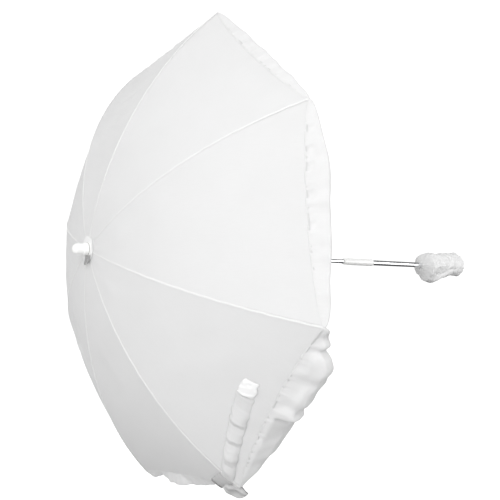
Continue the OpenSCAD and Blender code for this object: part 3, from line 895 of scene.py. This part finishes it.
def ring_normals(points):
    """Outward normals of a grid of points whose columns close into rings round the shaft."""
    across = np.roll(points, -1, 1) - np.roll(points, 1, 1)
    normal = np.cross(np.gradient(points, axis=0), across)
    length = np.linalg.norm(normal, axis=-1, keepdims=True)
    normal = normal / np.maximum(length, 1e-12)
    centre = points.mean(axis=(0, 1))
    return normal if np.sum(normal * (points - centre)) > 0 else -normal


def smooth_noise(place):
    """Smooth noise of two octaves, about -0.6 to 0.6."""
    flat = place.reshape(-1, 3)
    total = np.array([noise.noise(Vector(p)) + 0.45 * noise.noise(Vector(p) * 2.1) for p in flat])
    return total.reshape(place.shape[:-1])


# ---------------------------------------------------------------- finishes of the CAD nodes

FINISHES = {
    "lower_tube": CHROME, "upper_tube": CHROME, "collar": GLOSS, "finial": GLOSS, "end_cap": GLOSS,
    "notch": NYLON, "runner": NYLON, "guide_bush": ACETAL, "stop_bush": ACETAL, "apex_washer": NYLON,
    "rubber_ring": RUBBER, "notch_wire": SPRING, "open_catch": SPRING, "closed_catch": SPRING,
    "open_catch_spring": SPRING, "closed_catch_spring": SPRING,
    "rib": STEEL, "rib_tip": GLOSS, "rivet": SPRING, "stretcher": STEEL,
    "gore": CLOTH, "strap": STRAP, "strap_tab": STRAP_END, "wrap": FILM,
}


def finish_nodes():
    """Give each CAD node its material, by its name or by its name without the number."""
    for name, node in NODES.items():
        kind = name if name in FINISHES else name.rsplit("_", 1)[0]
        node.data.materials.clear()
        node.data.materials.append(FINISHES[kind])


# ---------------------------------------------------------------- studio

KEY_POWER = 29.0                   # watts
SIDE_POWER = 8.5
WALL_LIGHT = 0.9
DARK_SIDE = (0.88, 0.0, -0.47)     # the studio is dark this way: past the open side and below
FLOOR_Z = CAD_BOX[0].z - 0.06
FLOOR_SIZE = 12.0                  # half its width
WHITE = (1, 1, 1, 1)


def area_light(name, place, target, size, power):
    light = bpy.data.lights.new(name, "AREA")
    light.shape = "DISK"
    light.size = size
    light.energy = power
    obj = bpy.data.objects.new(name, light)
    obj.location = place
    obj.rotation_euler = (target - place).to_track_quat("-Z", "Y").to_euler()
    bpy.context.scene.collection.objects.link(obj)


def make_world():
    """Pale walls, dim on the dark side. Gloss mirrors them bright on the camera's side, dim elsewhere."""
    n = Nodes(None)
    ray = n.add("ShaderNodeLightPath").outputs
    toward = n.add("ShaderNodeTexCoord").outputs["Generated"]
    side = n.add("ShaderNodeSeparateXYZ", {"Vector": toward}).outputs["Y"]
    bright_side = n.between(side, 0.85, 0.22, start=-0.7, end=-0.35)
    dark_way = n.add("ShaderNodeVectorMath", {0: toward, 1: DARK_SIDE}, operation="DOT_PRODUCT")
    shade = n.between(dark_way.outputs["Value"], WALL_LIGHT, 0.22 * WALL_LIGHT, start=-0.1, end=0.5)
    walls = n.add("ShaderNodeBackground", {"Color": WHITE, "Strength": shade})
    mirrored = n.add("ShaderNodeBackground", {"Color": WHITE, "Strength": bright_side})
    white = n.add("ShaderNodeBackground", {"Color": WHITE, "Strength": 1.15})
    indirect = n.mix(ray["Is Glossy Ray"], walls, mirrored)
    return n.finish(n.mix(ray["Is Camera Ray"], indirect, white))


def make_floor():
    """A plain pale floor. It throws up less light past the open side, and gloss mirrors it dark nearby."""
    n = Nodes("pale_floor")
    ray = n.add("ShaderNodeLightPath").outputs
    place = n.place()
    grain = n.noise(place, 3.0)
    below_shaft = (0.05, 0, FLOOR_Z)
    away = n.add("ShaderNodeVectorMath", {0: place, 1: below_shaft}, operation="DISTANCE")
    far = n.between(away.outputs["Value"], 0.0, 1.0, start=0.5, end=0.8)
    mirrored = n.add("ShaderNodeBsdfDiffuse", {"Color": n.tint(far, grey(0.05), grey(0.7))})
    ahead = n.add("ShaderNodeSeparateXYZ", {"Vector": place}).outputs["X"]
    darker = n.between(ahead, 0.0, 1.0, start=-0.5, end=0.4)
    dim = n.add("ShaderNodeBsdfDiffuse", {"Color": n.tint(darker, grey(0.64), grey(0.2))})
    pale = n.add("ShaderNodeBsdfPrincipled", {
        "Base Color": n.tint(grain, grey(0.9), grey(0.93)), "Roughness": 0.8,
        "Emission Color": WHITE, "Emission Strength": 0.75})
    indirect = n.mix(ray["Is Glossy Ray"], dim, mirrored)
    material = n.finish(n.mix(ray["Is Camera Ray"], indirect, pale))
    corners = [(x, y, FLOOR_Z) for x, y in ((-1, -1), (1, -1), (1, 1), (-1, 1))]
    corners = np.array(corners) * (FLOOR_SIZE, FLOOR_SIZE, 1)
    make_mesh("floor", corners, [(0, 1, 2, 3)], material)


def studio():
    """A large soft key light, a small one for the shaft, pale walls and a pale floor."""
    scene = bpy.context.scene
    scene.view_settings.view_transform = "Standard"
    canopy = Vector((APEX_X + 0.15, 0, 0))
    shaft = Vector((0.05, 0, 0))
    area_light("key", canopy + 2.6 * Vector((-0.62, -0.75, 0.22)), canopy, size=1.5, power=KEY_POWER)
    area_light("side", Vector((0.9, -1.25, 0.1)), shaft, size=0.8, power=SIDE_POWER)
    scene.world = make_world()
    make_floor()


def make_camera():
    """The view of the reference: from in front, on the apex's side and a little below the shaft."""
    turn, rise, distance, lens = radians(-33.87), radians(-4.58), 1.3155, 55.8
    target = Vector((APEX_X + 0.2904, 0.0, 0.0119))
    back = Vector((sin(turn) * cos(rise), -cos(turn) * cos(rise), sin(rise)))
    camera = bpy.data.objects.new("camera", bpy.data.cameras.new("camera"))
    camera.data.lens = lens
    camera.data.sensor_width = 36.0
    camera.location = target + back * distance
    camera.rotation_euler = (-back).to_track_quat("-Z", "Y").to_euler()
    bpy.context.scene.collection.objects.link(camera)
    bpy.context.scene.camera = camera


# ---------------------------------------------------------------- the whole

make_camera()
studio()
finish_nodes()
seams = {i: make_seam(i) for i in range(1, RIBS + 1)}
frills = {i: make_frill(i) for i in range(1, RIBS + 1)}
for i in range(1, RIBS + 1):
    make_gore(i)
    frill_width(i)
    make_hem_stitches(i)
    make_ties(i)
make_strap()
make_root_shade()
make_strap_end()
make_loose_end()
make_root_shade_line()
make_runner_wire()
make_apex_shade_loops()
make_rosette()
make_wrap()

bpy.context.view_layer.update()
